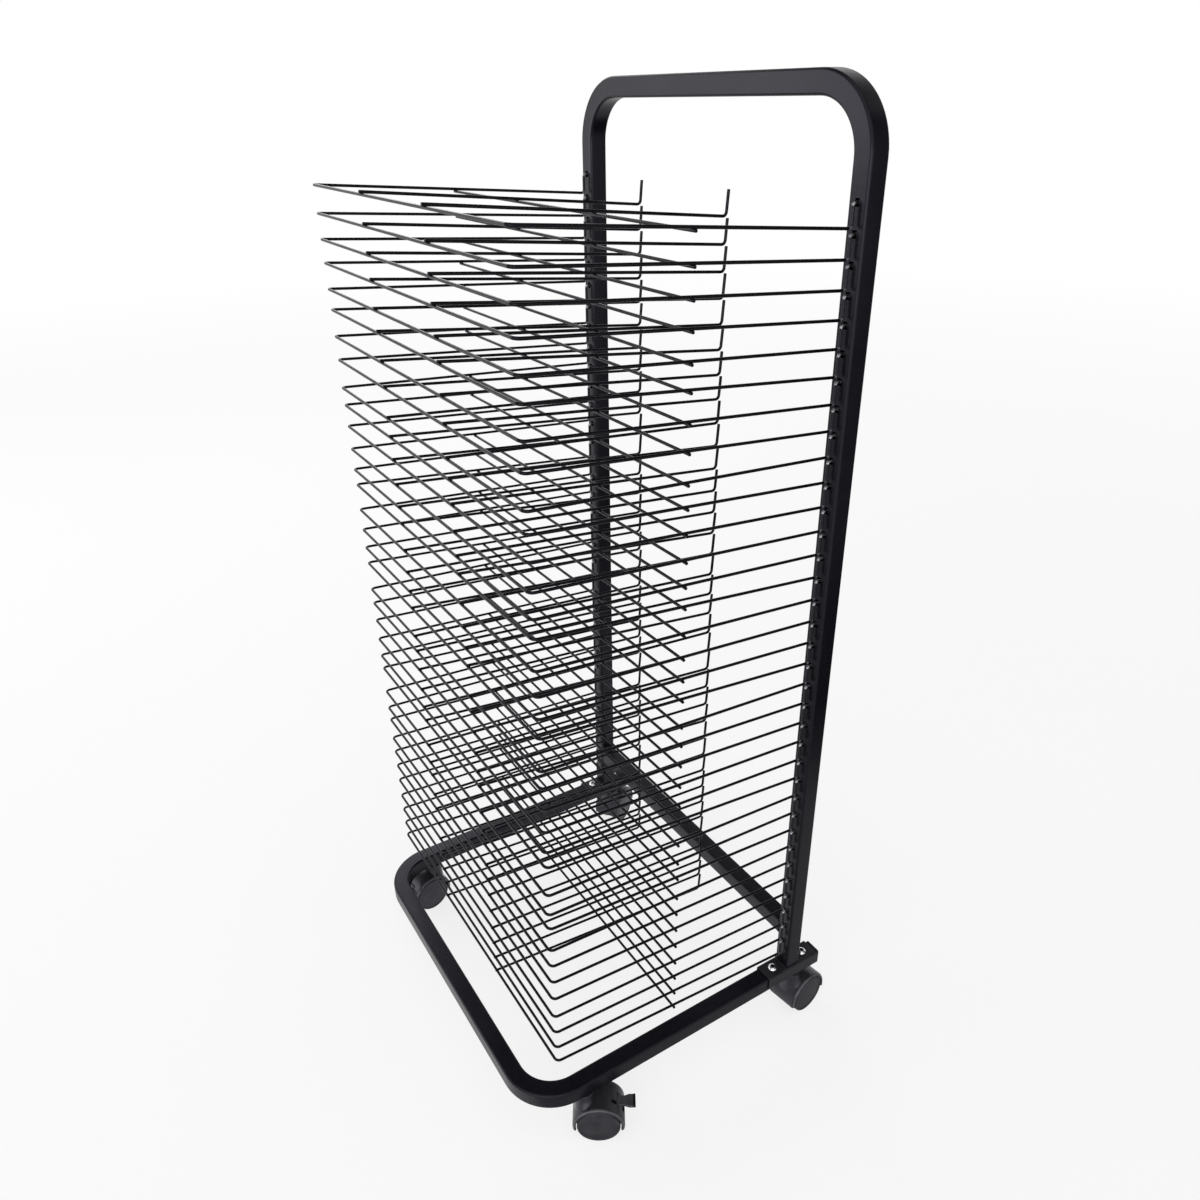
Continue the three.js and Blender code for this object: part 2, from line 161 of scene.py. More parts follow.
HOOD_DROP = 10
HOOD_STEP = 5
HOOD_EDGE = 0.4
WEB_THICKNESS = 5.6
WEB_CUT = 4.9
BOSS_FLARE = (
    (0.0, 0.5, 0.7), (0.0, 4.5, 6.5), (0.0, 8.5, 12.5), (0.0, 12.2, 18.0), (0.18, 11.9, 15.6),
    (0.4, 11.5, 13.2), (0.65, 11.2, 11.7), (0.88, 11.0, 11.0), (0.96, 10.8, 10.8), (1.0, 10.1, 10.1),
)
BOSS_SIDES = 40
STEM_RADIUS = 4.0

# Brake levers
LEVER_SLOT_FROM = 10
LEVER_SLOT_TO = 45
NOTCH_TO = 60
NOTCH_SPAN = (-7.8, -2.9)
LEVER_WIDTH = 15.0
LEVER_NECK = 0.76
LEVER_THICKNESS = 3.5
LEVER_REACH = 19.5
LEVER_PIVOT_ANGLE = 40
LIP_OUTLINE = (
    (0.0, -3.5), (2.2, -3.5), (2.8, -2.8), (2.8, -0.2), (2.4, 0.6), (1.5, 0.9), (0.6, 0.6), (0.0, 0.0),
)
LIP_DEPTH = 2.8
LEVER_RIBS = 2
RIB_WIDTH = 1.0
RIB_HEIGHT = 0.8
RIB_STEP = 2.6
KNUCKLE_RADIUS = 2.4
SHOE_ANGLE = 18
SHOE_GAP = 0.9
SHOE_THICKNESS = 2.0
SHOE_STEPS = 6


pieces = []


# Shaping helpers

def edges_among(verts):
    """The edges that join some of these vertices to each other, in a steady order."""
    kept = set(verts)
    found = {}
    for vert in verts:
        for edge in vert.link_edges:
            if edge.other_vert(vert) in kept:
                found[edge] = True
    return list(found)


def verts_of(edges):
    return list(dict.fromkeys(vert for edge in edges for vert in edge.verts))


def extruded(bm, ring, offset):
    """Draws a ring of edges out by an offset and returns the new ring."""
    made = bmesh.ops.extrude_edge_only(bm, edges=ring)["geom"]
    verts = [part for part in made if isinstance(part, bmesh.types.BMVert)]
    bmesh.ops.translate(bm, vec=offset, verts=verts)
    return edges_among(verts)


def raised(bm, faces, offset):
    """Draws faces out into a solid."""
    made = bmesh.ops.extrude_face_region(bm, geom=faces)["geom"]
    verts = [part for part in made if isinstance(part, bmesh.types.BMVert)]
    bmesh.ops.translate(bm, vec=offset, verts=verts)


def turned(bm, ring, centre, axis, angle, steps):
    """Draws a ring of edges round an axis and returns the last ring."""
    made = bmesh.ops.spin(
        bm, geom=verts_of(ring) + ring, cent=centre, axis=axis, angle=angle, steps=steps, use_merge=False
    )["geom_last"]
    return [part for part in made if isinstance(part, bmesh.types.BMEdge)]


def spun(bm, edges, axis, steps):
    """Turns an outline into a closed round body."""
    outline = verts_of(edges) + edges
    bmesh.ops.spin(bm, geom=outline, cent=(0, 0, 0), axis=axis, angle=math.tau, steps=steps, use_merge=True)
    bmesh.ops.remove_doubles(bm, verts=bm.verts, dist=MERGE)


def follow(bm, ring, path, steps):
    """Draws a ring along a path of (corner, bend radius) and returns the last ring."""
    at = path[0][0]
    for i in range(1, len(path) - 1):
        corner, radius = path[i]
        into = (corner - path[i - 1][0]).normalized()
        out = (path[i + 1][0] - corner).normalized()
        turn = into.angle(out) if radius else 0
        start = corner - into * radius * math.tan(turn / 2)
        ring = extruded(bm, ring, start - at)
        at = start
        if turn:
            axis = into.cross(out).normalized()
            ring = turned(bm, ring, start + axis.cross(into) * radius, axis, turn, steps)
            at = corner + out * radius * math.tan(turn / 2)
    return extruded(bm, ring, path[-1][0] - at)


def sized(bm, ring, factor):
    """Scales a ring about its own middle."""
    verts = verts_of(ring)
    middle = sum((vert.co for vert in verts), Vector()) / len(verts)
    bmesh.ops.scale(bm, vec=(factor,) * 3, space=Matrix.Translation(-middle), verts=verts)
    return ring


def close_round(bm, ring, outward, steps):
    """Closes a ring with a cap that draws in as it goes out, by steps of (distance, share of the ring)."""
    reached = 1
    for distance, share in steps:
        ring = sized(bm, extruded(bm, ring, outward * distance), share / reached)
        reached = share
    bmesh.ops.edgeloop_fill(bm, edges=ring)


def rounded(bm, parts, offset, affect, segments=EDGE_STEPS):
    bmesh.ops.bevel(
        bm, geom=parts, offset=offset, offset_type="OFFSET", segments=segments, profile=0.5, affect=affect,
        material=-1,
    )


def tube_ring(bm, matrix, width=TUBE):
    """The rounded square section of a tube, as the only edges of a new mesh."""
    made = bmesh.ops.create_grid(bm, x_segments=1, y_segments=1, size=width / 2, matrix=matrix)
    rounded(bm, made["verts"], TUBE_EDGE, "VERTICES")
    bmesh.ops.delete(bm, geom=bm.faces[:], context="FACES_ONLY")
    return bm.edges[:]


def round_ring(bm, centre, direction, radius, sides):
    turn = direction.to_track_quat("Z", "Y").to_matrix().to_4x4()
    made = bmesh.ops.create_circle(
        bm, cap_ends=False, segments=sides, radius=radius, matrix=Matrix.Translation(centre) @ turn
    )
    return edges_among(made["verts"])


def rod(bm, start, end, radius, sides):
    """A round bar with flat ends."""
    ring = round_ring(bm, start, end - start, radius, sides)
    last = extruded(bm, ring, end - start)
    for rim in (ring, last):
        bmesh.ops.edgeloop_fill(bm, edges=rim)


def profile_edges(bm, points):
    """A line of edges through a few points."""
    verts = [bm.verts.new(at) for at in points]
    return [bm.edges.new(pair) for pair in zip(verts, verts[1:])]


def face_away(bm, centre):
    """Turns the faces of an open skin away from a point inside it."""
    bmesh.ops.recalc_face_normals(bm, faces=bm.faces)
    widest = max(bm.faces, key=lambda face: face.calc_area())
    if widest.normal.dot(widest.calc_center_median() - centre) < 0:
        bmesh.ops.reverse_faces(bm, faces=bm.faces)


def make_piece(name, bm, material, slot, body, *nodes):
    """Turns a mesh in millimetres into a piece that rides on a body and stands for some solids."""
    bmesh.ops.scale(bm, vec=(MM, MM, MM), verts=bm.verts)
    bm.edges.index_update()
    rims = [edge.index for edge in bm.edges if edge.is_boundary]
    mesh = bpy.data.meshes.new(name)
    bm.to_mesh(mesh)
    bm.free()
    mesh.shade_smooth()
    mesh.set_sharp_from_angle(angle=SMOOTH_ANGLE)
    for index in rims:
        mesh.edges[index].use_edge_sharp = True
    mesh.materials.append(material)
    piece = bpy.data.objects.new(name, mesh)
    bpy.context.scene.collection.objects.link(piece)
    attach(piece, body)
    if nodes:
        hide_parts(*nodes)
    pieces.append(piece)
    return piece


def thicken(piece, wall):
    """Gives a skin its wall, inwards."""
    solidify = piece.modifiers.new("wall", "SOLIDIFY")
    solidify.thickness = wall * MM
    solidify.offset = -1
    solidify.use_even_offset = True


def soften(piece, width, segments=2):
    """Rounds the sharp edges of a piece."""
    bevel = piece.modifiers.new("soft_edges", "BEVEL")
    bevel.width = width * MM
    bevel.segments = segments
    bevel.limit_method = "ANGLE"
    bevel.angle_limit = SMOOTH_ANGLE


def level_shading(piece):
    """Lets broad faces set the shading, so that flats look flat beside their rounded edges."""
    level = piece.modifiers.new("level_shading", "WEIGHTED_NORMAL")
    level.keep_sharp = True


# Shader helpers

def put(tree, socket, value):
    """Sets a socket to a plain value, or links it to another socket."""
    if isinstance(value, bpy.types.NodeSocket):
        tree.links.new(value, socket)
    else:
        socket.default_value = value


def node(tree, kind, inputs=None, **settings):
    made = tree.nodes.new(kind)
    for name, value in settings.items():
        setattr(made, name, value)
    for name, value in (inputs or {}).items():
        put(tree, made.inputs[name], value)
    return made


def new_group(name, inputs, outputs):
    """A shader node group with named sockets, and its two ends."""
    tree = bpy.data.node_groups.new(name, "ShaderNodeTree")
    for label, kind in inputs.items():
        tree.interface.new_socket(label, in_out="INPUT", socket_type=kind)
    for label, kind in outputs.items():
        tree.interface.new_socket(label, in_out="OUTPUT", socket_type=kind)
    return tree, tree.nodes.new("NodeGroupInput"), tree.nodes.new("NodeGroupOutput")


def noise(tree, vector, scale, detail=3.0, roughness=0.55):
    return node(
        tree, "ShaderNodeTexNoise",
        {"Vector": vector, "Scale": scale, "Detail": detail, "Roughness": roughness},
    ).outputs["Fac"]


def stepped(tree, value, low, high, to_low=0.0, to_high=1.0):
    """Carries a value from one range to another, held at both ends."""
    return node(
        tree, "ShaderNodeMapRange",
        {"Value": value, "From Min": low, "From Max": high, "To Min": to_low, "To Max": to_high},
    ).outputs["Result"]


def combined(tree, operation, a, b):
    made = node(tree, "ShaderNodeMath", operation=operation)
    put(tree, made.inputs[0], a)
    put(tree, made.inputs[1], b)
    return made.outputs[0]


def times(tree, a, b):
    return combined(tree, "MULTIPLY", a, b)


def plus(tree, a, b):
    return combined(tree, "ADD", a, b)


def build_grain_group():
    """The fine skin of a coat or a moulding: a height, and a slow cloud over the surface."""
    tree, start, end = new_group(
        "surface_grain",
        {
            "Vector": "NodeSocketVector", "Cloud Scale": "NodeSocketFloat", "Peel Scale": "NodeSocketFloat",
            "Grain Scale": "NodeSocketFloat",
        },
        {"Height": "NodeSocketFloat", "Cloud": "NodeSocketFloat"},
    )
    at = start.outputs["Vector"]
    peel = noise(tree, at, start.outputs["Peel Scale"], 2.0, 0.45)
    grain = noise(tree, at, start.outputs["Grain Scale"], 2.0, 0.6)
    tree.links.new(plus(tree, times(tree, peel, 0.65), times(tree, grain, 0.35)), end.inputs["Height"])
    tree.links.new(noise(tree, at, start.outputs["Cloud Scale"], 4.0, 0.6), end.inputs["Cloud"])
    return tree


def build_rub_group():
    """Thin rub marks in two directions, and the patches where they gather."""
    tree, start, end = new_group(
        "rub_marks",
        {"Vector": "NodeSocketVector", "Scale": "NodeSocketFloat", "Amount": "NodeSocketFloat"},
        {"Mask": "NodeSocketFloat"},
    )
    at = start.outputs["Vector"]
    masks = []
    for turn, stretch in ((0.5, (1.0, 9.0, 9.0)), (2.2, (9.0, 9.0, 1.0))):
        turns = (turn, turn / 2, turn)
        laid = node(tree, "ShaderNodeMapping", {"Vector": at, "Rotation": turns, "Scale": stretch})
        lines = noise(tree, laid.outputs["Vector"], start.outputs["Scale"], 5.0, 0.7)
        masks.append(stepped(tree, lines, 0.63, 0.70))
    patches = stepped(tree, noise(tree, at, 22.0, 3.0), 0.50, 0.62)
    both = times(tree, plus(tree, masks[0], masks[1]), patches)
    tree.links.new(times(tree, both, start.outputs["Amount"]), end.inputs["Mask"])
    return tree


def build_dust_group():
    """A thin settling of dust on what faces up."""
    tree, start, end = new_group(
        "settled_dust",
        {"Vector": "NodeSocketVector", "Normal": "NodeSocketVector", "Amount": "NodeSocketFloat"},
        {"Mask": "NodeSocketFloat"},
    )
    split = node(tree, "ShaderNodeSeparateXYZ", {"Vector": start.outputs["Normal"]})
    upward = stepped(tree, split.outputs["Z"], 0.55, 0.98)
    speckle = stepped(tree, noise(tree, start.outputs["Vector"], 160.0, 6.0, 0.75), 0.42, 0.72)
    tree.links.new(times(tree, times(tree, upward, speckle), start.outputs["Amount"]), end.inputs["Mask"])
    return tree


COAT_TINT = (0.82, 0.82, 1.0, 1.0)
BARE_STEEL = (0.27, 0.27, 0.285)
HOOK_GIRTH = 3.4
HOOK_DEPTH = 5.0
WORN_BEND = 2.2
HEEL_WEAR = 0.7
GRAIN = build_grain_group()
RUBS = build_rub_group()
DUST = build_dust_group()


def placed(tree, group, inputs):
    made = node(tree, "ShaderNodeGroup", node_tree=group)
    for name, value in inputs.items():
        put(tree, made.inputs[name], value)
    return made


def blended(tree, mask, low, high):
    """One colour where the mask is 0, another where it is 1."""
    made = node(tree, "ShaderNodeMix", data_type="RGBA")
    colours = [socket for socket in made.inputs if socket.type == "RGBA"]
    tree.links.new(mask, made.inputs["Factor"])
    for socket, value in zip(colours, (low, high)):
        put(tree, socket, value if isinstance(value, bpy.types.NodeSocket) else (*value, 1.0))
    return next(socket for socket in made.outputs if socket.type == "RGBA")


def near(tree, value, middle, reach):
    """1 close to a middle value, falling to 0 at its reach."""
    away = combined(tree, "ABSOLUTE", combined(tree, "SUBTRACT", value, middle), 0.0)
    return stepped(tree, away, reach * 0.6, reach, 1.0, 0.0)


def hook_wear_and_sheen(tree, at):
    """The shelf hooks, painted lighter for rubbing in their slots and as a painted sheen, and their bends,
    where the coat is worn through.
    """
    split = node(tree, "ShaderNodeSeparateXYZ", {"Vector": at})
    pivot = joint_place("shelf_01_lift") * MM
    side = combined(tree, "ABSOLUTE", split.outputs["X"], 0.0)
    front = pivot.y - (HOOK_STANDOFF - WIRE / 2) * MM
    # The hooks are painted lighter: rub wear in the slots, and a painted sheen on the wire
    hook = times(
        tree, near(tree, side, UPRIGHT_X * MM, HOOK_GIRTH * MM),
        near(tree, split.outputs["Y"], front, HOOK_DEPTH * MM),
    )
    bends = []
    for drop, share in ((0.0, 1.0), (HOOK_RISE, HEEL_WEAR)):
        level = combined(tree, "SUBTRACT", split.outputs["Z"], pivot.z - drop * MM)
        away = combined(tree, "PINGPONG", level, SHELF_PITCH / 2 * MM)
        bends.append(stepped(tree, away, WORN_BEND / 2 * MM, WORN_BEND * MM, share, 0.0))
    bare = times(tree, combined(tree, "MAXIMUM", *bends), stepped(tree, noise(tree, at, 260.0), 0.28, 0.48))
    return hook, times(tree, hook, bare)


def rim_painted_highlight(tree, at):
    """The rolled rim of a caster hood, painted lighter along its edge as a painted highlight, broken up by
    noise.
    """
    rim = node(tree, "ShaderNodeAttribute", attribute_name=RIM).outputs["Fac"]
    return times(tree, rim, stepped(tree, noise(tree, at, 120.0), 0.30, 0.60, 0.45, 1.0)), None


def coated(name, colours, rub_and_sheen_colour, dust_colour, roughness, grain, bump, rub, dust, specular, wear_and_sheen=None):
    """A black coat or moulding: clouded colour, fine skin, rub marks, a little dust, and any bare wear,
    with any painted sheen and painted highlight that the wear function gives.
    """
    material = bpy.data.materials.new(name)
    material.use_nodes = True
    tree = material.node_tree
    shader = tree.nodes["Principled BSDF"]
    spot = node(tree, "ShaderNodeTexCoord")
    at = spot.outputs["Object"]
    scales = dict(zip(("Cloud Scale", "Peel Scale", "Grain Scale"), grain))
    skin = placed(tree, GRAIN, {"Vector": at, **scales})
    marks = placed(tree, RUBS, {"Vector": at, "Scale": rub[0], "Amount": rub[1]})
    settled = placed(tree, DUST, {"Vector": at, "Normal": spot.outputs["Normal"], "Amount": dust})
    cloud = stepped(tree, skin.outputs["Cloud"], 0.35, 0.65)
    colour = blended(tree, cloud, *colours)
    colour = blended(tree, marks.outputs["Mask"], colour, rub_and_sheen_colour)
    colour = blended(tree, settled.outputs["Mask"], colour, dust_colour)
    if wear_and_sheen:
        # The rub colour here paints wear, and also a painted sheen and painted highlight where the wear
        # function marks them
        rub_and_sheen_mask, bare = wear_and_sheen(tree, at)
        colour = blended(tree, rub_and_sheen_mask, colour, rub_and_sheen_colour)
        if bare is not None:
            colour = blended(tree, bare, colour, BARE_STEEL)
            tree.links.new(bare, shader.inputs["Metallic"])
    tree.links.new(colour, shader.inputs["Base Color"])
    rough = stepped(tree, skin.outputs["Cloud"], 0.3, 0.7, *roughness)
    rough = plus(tree, rough, times(tree, marks.outputs["Mask"], -0.12))
    rough = plus(tree, rough, times(tree, settled.outputs["Mask"], 0.35))
    tree.links.new(rough, shader.inputs["Roughness"])
    relief = node(
        tree, "ShaderNodeBump",
        {"Height": skin.outputs["Height"], "Strength": bump[0], "Distance": bump[1] * MM},
    )
    tree.links.new(relief.outputs["Normal"], shader.inputs["Normal"])
    shader.inputs["Specular IOR Level"].default_value = specular
    shader.inputs["Specular Tint"].default_value = COAT_TINT
    return material


powder_coat = coated(
    "satin_powder_coat", ((0.0031, 0.0029, 0.0046), (0.0043, 0.0041, 0.0061)),
    rub_and_sheen_colour=(0.020, 0.020, 0.024), dust_colour=(0.040, 0.040, 0.041), roughness=(0.25, 0.34),
    grain=(9.0, 420.0, 1500.0), bump=(0.20, 0.30), rub=(30.0, 0.35), dust=0.06, specular=0.21,
)
# A lighter copy of the frame's powder coat on the saddles: painted reflection on their tops
saddle_painted_reflection_coat = coated(
    "saddle_coat_painted_reflection", ((0.0125, 0.0123, 0.0146), (0.0165, 0.0163, 0.0188)),
    rub_and_sheen_colour=(0.040, 0.040, 0.044), dust_colour=(0.060, 0.060, 0.061), roughness=(0.30, 0.40),
    grain=(60.0, 420.0, 1500.0), bump=(0.20, 0.30), rub=(50.0, 0.40), dust=0.10, specular=0.21,
)
# The hooks of the wire are painted lighter, partly as rub wear and partly as a painted sheen
coated_wire = coated(
    "black_coated_wire", ((0.0014, 0.0014, 0.0019), (0.0022, 0.0022, 0.0028)),
    rub_and_sheen_colour=(0.012, 0.012, 0.014), dust_colour=(0.025, 0.025, 0.025), roughness=(0.18, 0.26),
    grain=(9.0, 700.0, 2200.0), bump=(0.16, 0.15), rub=(60.0, 0.15), dust=0.05, specular=0.16,
    wear_and_sheen=hook_wear_and_sheen,
)
# The hood's rub colour also paints a highlight along the rolled rim
hood_plastic = coated(
    "moulded_hood_plastic", ((0.0150, 0.0149, 0.0168), (0.0215, 0.0214, 0.0236)),
    rub_and_sheen_colour=(0.075, 0.075, 0.079), dust_colour=(0.080, 0.080, 0.079), roughness=(0.26, 0.38),
    grain=(60.0, 900.0, 2600.0), bump=(0.28, 0.20), rub=(70.0, 0.35), dust=0.10, specular=0.35,
    wear_and_sheen=rim_painted_highlight,
)
# A lighter copy of the hood plastic: painted light on the lever's top, with heavier rub marks
lever_painted_light = coated(
    "lever_moulding_painted_light", ((0.0360, 0.0358, 0.0390), (0.0500, 0.0498, 0.0530)),
    rub_and_sheen_colour=(0.100, 0.100, 0.104), dust_colour=(0.130, 0.130, 0.127), roughness=(0.36, 0.48),
    grain=(90.0, 900.0, 2600.0), bump=(0.28, 0.20), rub=(70.0, 0.70), dust=0.14, specular=0.36,
)
# A darker copy of the hood plastic: painted shade on the lever's end
lip_painted_shade = coated(
    "lip_moulding_painted_shade", ((0.0036, 0.0035, 0.0046), (0.0050, 0.0049, 0.0062)),
    rub_and_sheen_colour=(0.030, 0.030, 0.033), dust_colour=(0.040, 0.040, 0.040), roughness=(0.36, 0.48),
    grain=(90.0, 900.0, 2600.0), bump=(0.28, 0.20), rub=(70.0, 0.40), dust=0.06, specular=0.20,
)
wheel_plastic = coated(
    "scuffed_wheel_plastic", ((0.0115, 0.0114, 0.0134), (0.0265, 0.0263, 0.0290)),
    rub_and_sheen_colour=(0.080, 0.080, 0.083), dust_colour=(0.100, 0.100, 0.098), roughness=(0.36, 0.52),
    grain=(75.0, 800.0, 2400.0), bump=(0.28, 0.20), rub=(45.0, 0.90), dust=0.12, specular=0.36,
)
plug_plastic = coated(
    "black_plug_plastic", ((0.0062, 0.0061, 0.0076), (0.0088, 0.0087, 0.0102)),
    rub_and_sheen_colour=(0.040, 0.040, 0.043), dust_colour=(0.075, 0.075, 0.074), roughness=(0.38, 0.50),
    grain=(60.0, 900.0, 2600.0), bump=(0.25, 0.15), rub=(70.0, 0.50), dust=0.10, specular=0.36,
)


def zinc_material():
    """Bright zinc plate with a faint mottle."""
    material = bpy.data.materials.new("bright_zinc")
    material.use_nodes = True
    tree = material.node_tree
    shader = tree.nodes["Principled BSDF"]
    at = node(tree, "ShaderNodeTexCoord").outputs["Object"]
    skin = placed(tree, GRAIN, {"Vector": at, "Peel Scale": 900.0, "Grain Scale": 3000.0})
    marks = placed(tree, RUBS, {"Vector": at, "Scale": 200.0, "Amount": 0.5})
    mottle = stepped(tree, noise(tree, at, 500.0, 3.0), 0.35, 0.65)
    colour = blended(tree, mottle, (0.70, 0.71, 0.73), (0.80, 0.80, 0.79))
    colour = blended(tree, marks.outputs["Mask"], colour, (0.45, 0.45, 0.46))
    tree.links.new(colour, shader.inputs["Base Color"])
    tree.links.new(stepped(tree, mottle, 0.0, 1.0, 0.16, 0.28), shader.inputs["Roughness"])
    relief = node(
        tree, "ShaderNodeBump",
        {"Height": skin.outputs["Height"], "Strength": 0.15, "Distance": 0.1 * MM},
    )
    tree.links.new(relief.outputs["Normal"], shader.inputs["Normal"])
    shader.inputs["Metallic"].default_value = 1.0
    return material


zinc = zinc_material()


# Frame

def is_slot(face):
    """Whether a face of an upright is where a shelf hook goes in."""
    middle = face.calc_center_median()
    if abs(middle.y - frame_low.y) > 0.1 or abs(abs(middle.x) - UPRIGHT_X) > 1.0:
        return False
    step = (middle.z - joint_place(f"shelf_{SHELF_COUNT}_lift").z) / SHELF_PITCH
    return abs(step - round(step)) * SHELF_PITCH < 1.0 and 0 <= round(step) < SHELF_COUNT


def build_upright_frame():
    """One tube bent over the top, with a column of hook slots in the front of each leg."""
    bm = bmesh.new()
    tube_ring(bm, Matrix.Translation((UPRIGHT_X, UPRIGHT_Y, FOOT_TOP)))
    front = min(bm.edges, key=lambda edge: edge.verts[0].co.y + edge.verts[1].co.y)
    bmesh.ops.subdivide_edges(bm, edges=[front], cuts=2)
    levels = [FOOT_TOP]
    for number in range(SHELF_COUNT, 0, -1):
        middle = joint_place(f"shelf_{number:02d}_lift").z
        levels += [middle - SLOT_HEIGHT / 2, middle + SLOT_HEIGHT / 2]
    path = [(Vector((UPRIGHT_X, UPRIGHT_Y, z)), 0) for z in levels]
    path += [(Vector((side * UPRIGHT_X, UPRIGHT_Y, HANDLE_Z)), HANDLE_BEND) for side in (1, -1)]
    path += [(Vector((-UPRIGHT_X, UPRIGHT_Y, z)), 0) for z in reversed(levels)]
    follow(bm, bm.edges[:], path, BEND_STEPS)
    bmesh.ops.recalc_face_normals(bm, faces=bm.faces)
    bmesh.ops.delete(bm, geom=[face for face in bm.faces if is_slot(face)], context="FACES")
    piece = make_piece("upright_frame_tube", bm, powder_coat, "powder_coat", "frame", "upright_frame")
    thicken(piece, TUBE_WALL)


def build_crossbar():
    bm = bmesh.new()
    start = Vector((bar_low.x, UPRIGHT_Y, CROSSBAR_Z))
    ring = tube_ring(bm, Matrix.Translation(start) @ Matrix.Rotation(math.pi / 2, 4, "Y"))
    follow(bm, ring, [(start, 0), (Vector((bar_high.x, UPRIGHT_Y, CROSSBAR_Z)), 0)], BEND_STEPS)
    bmesh.ops.recalc_face_normals(bm, faces=bm.faces)
    piece = make_piece("crossbar_tube", bm, powder_coat, "powder_coat", "frame", "crossbar")
    thicken(piece, TUBE_WALL)


def build_base_frame():
    bm = bmesh.new()
    front = base_low.y + TUBE / 2
    start = Vector((UPRIGHT_X, base_high.y, BASE_Z))
    ring = tube_ring(bm, Matrix.Translation(start) @ Matrix.Rotation(math.pi / 2, 4, "X"))
    path = [(start, 0)]
    path += [(Vector((side * UPRIGHT_X, front, BASE_Z)), BASE_BEND) for side in (1, -1)]
    path += [(Vector((-UPRIGHT_X, base_high.y, BASE_Z)), 0)]
    follow(bm, ring, path, BEND_STEPS)
    bmesh.ops.recalc_face_normals(bm, faces=bm.faces)
    piece = make_piece("base_frame_tube", bm, powder_coat, "powder_coat", "frame", "base_frame")
    thicken(piece, TUBE_WALL)


def build_end_plug(hand, side):
    """A moulded plug with a pillowed face and a short spigot."""
    bm = bmesh.new()
    start = Vector((side * UPRIGHT_X, base_high.y, BASE_Z))
    ring = tube_ring(bm, Matrix.Translation(start) @ Matrix.Rotation(math.pi / 2, 4, "X"))
    close_round(bm, ring, ALONG_Y, PLUG_PILLOW)
    bore = 1 - 2.2 * TUBE_WALL / TUBE
    close_round(bm, ring, -ALONG_Y, ((0.0, bore), (PLUG_DEPTH - PLUG_TIP, bore), (PLUG_TIP, bore * 0.92)))
    bmesh.ops.recalc_face_normals(bm, faces=bm.faces)
    make_piece(f"end_plug_{hand}_cap", bm, plug_plastic, "plug_plastic", "frame", f"end_plug_{hand}")


def build_foot_plate(hand):
    """A pressed saddle: a plate bent down over both sides of the base."""
    node_name = f"foot_plate_{hand}"
    low, high = node_box(node_name)
    bm = bmesh.new()
    section = ((low.x, low.z), (low.x, high.z), (high.x, high.z), (high.x, low.z))
    outline = profile_edges(bm, [(x, low.y, z) for x, z in section])
    extruded(bm, outline, ALONG_Y * (high.y - low.y))
    shoulders = [edge for edge in bm.edges if len(edge.link_faces) == 2]
    rounded(bm, shoulders, FOOT_SHOULDER, "EDGES")
    face_away(bm, (low + high) / 2)
    # The saddle's coat is lighter than the frame's: painted reflection
    piece = make_piece(f"{node_name}_pressed", bm, saddle_painted_reflection_coat, "powder_coat", "frame", node_name)
    thicken(piece, FOOT_THICKNESS)
    soften(piece, FOOT_EDGE)


def build_screw(hand, side, end, way):
    """A button-head screw with a hexagon socket."""
    bm = bmesh.new()
    spun(bm, profile_edges(bm, [(radius, 0, height) for radius, height in SCREW_DOME]), UP, SCREW_STEPS)
    rims = [edge for edge in bm.edges if edge.is_boundary]
    crown = SCREW_DOME[-1][1]
    under = [edge for edge in rims if edge.verts[0].co.z < crown / 2]
    mouth = [edge for edge in rims if edge.verts[0].co.z > crown / 2]
    socket = round_ring(bm, UP * crown, UP, SOCKET_RADIUS, HEX_SIDES)
    bmesh.ops.bridge_loops(bm, edges=mouth + socket)
    bmesh.ops.edgeloop_fill(bm, edges=extruded(bm, socket, UP * -SOCKET_DEPTH))
    bmesh.ops.edgeloop_fill(bm, edges=under)
    bmesh.ops.recalc_face_normals(bm, faces=bm.faces)
    turn = Matrix.Rotation(0.4 * side + 0.9 * way, 4, "Z")
    spot = Matrix.Translation((side * UPRIGHT_X, UPRIGHT_Y + way * SCREW_SPREAD / 2, FOOT_TOP))
    bmesh.ops.transform(bm, matrix=spot @ turn, verts=bm.verts)
    make_piece(f"foot_screw_{hand}_{end}_head", bm, zinc, "zinc_screw", "frame", f"foot_screw_{hand}_{end}")


def square_round(half, count):
    """Places along the four sides of a square."""
    places = []
    for quarter in range(4):
        turn = Matrix.Rotation(quarter * math.pi / 2, 2)
        for i in range(count):
            along = half * (2 * (i + 0.5) / count - 1) * 0.94
            places.append(turn @ Vector((along, -half)))
    return places


def bead(bm, centre, radius, flat):
    """One ripple of a weld."""
    bmesh.ops.create_uvsphere(
        bm, u_segments=8, v_segments=6, radius=radius,
        matrix=Matrix.Translation(centre) @ Matrix.Diagonal((*flat, 1)),
    )


def build_welds():
    """The fillet welds round the feet of the uprights and the ends of the crossbar."""
    bm = bmesh.new()
    for side in SIDES.values():
        for i, (x, y) in enumerate(square_round(TUBE / 2, BEADS_A_SIDE)):
            size = FOOT_BEAD + BEAD_WAVER * math.sin(2.3 * i)
            bead(bm, Vector((side * UPRIGHT_X + x, UPRIGHT_Y + y, FOOT_TOP)), size, (1, 1, 0.9))
        for i, (y, z) in enumerate(square_round(TUBE / 2 - 1, BEADS_A_SIDE)):
            size = BAR_BEAD + BEAD_WAVER * math.sin(1.7 * i)
            bead(bm, Vector((side * bar_high.x, UPRIGHT_Y + y, CROSSBAR_Z + z)), size, (0.9, 1, 1))
    make_piece("frame_welds", bm, powder_coat, "powder_coat", "frame")


# Shelves

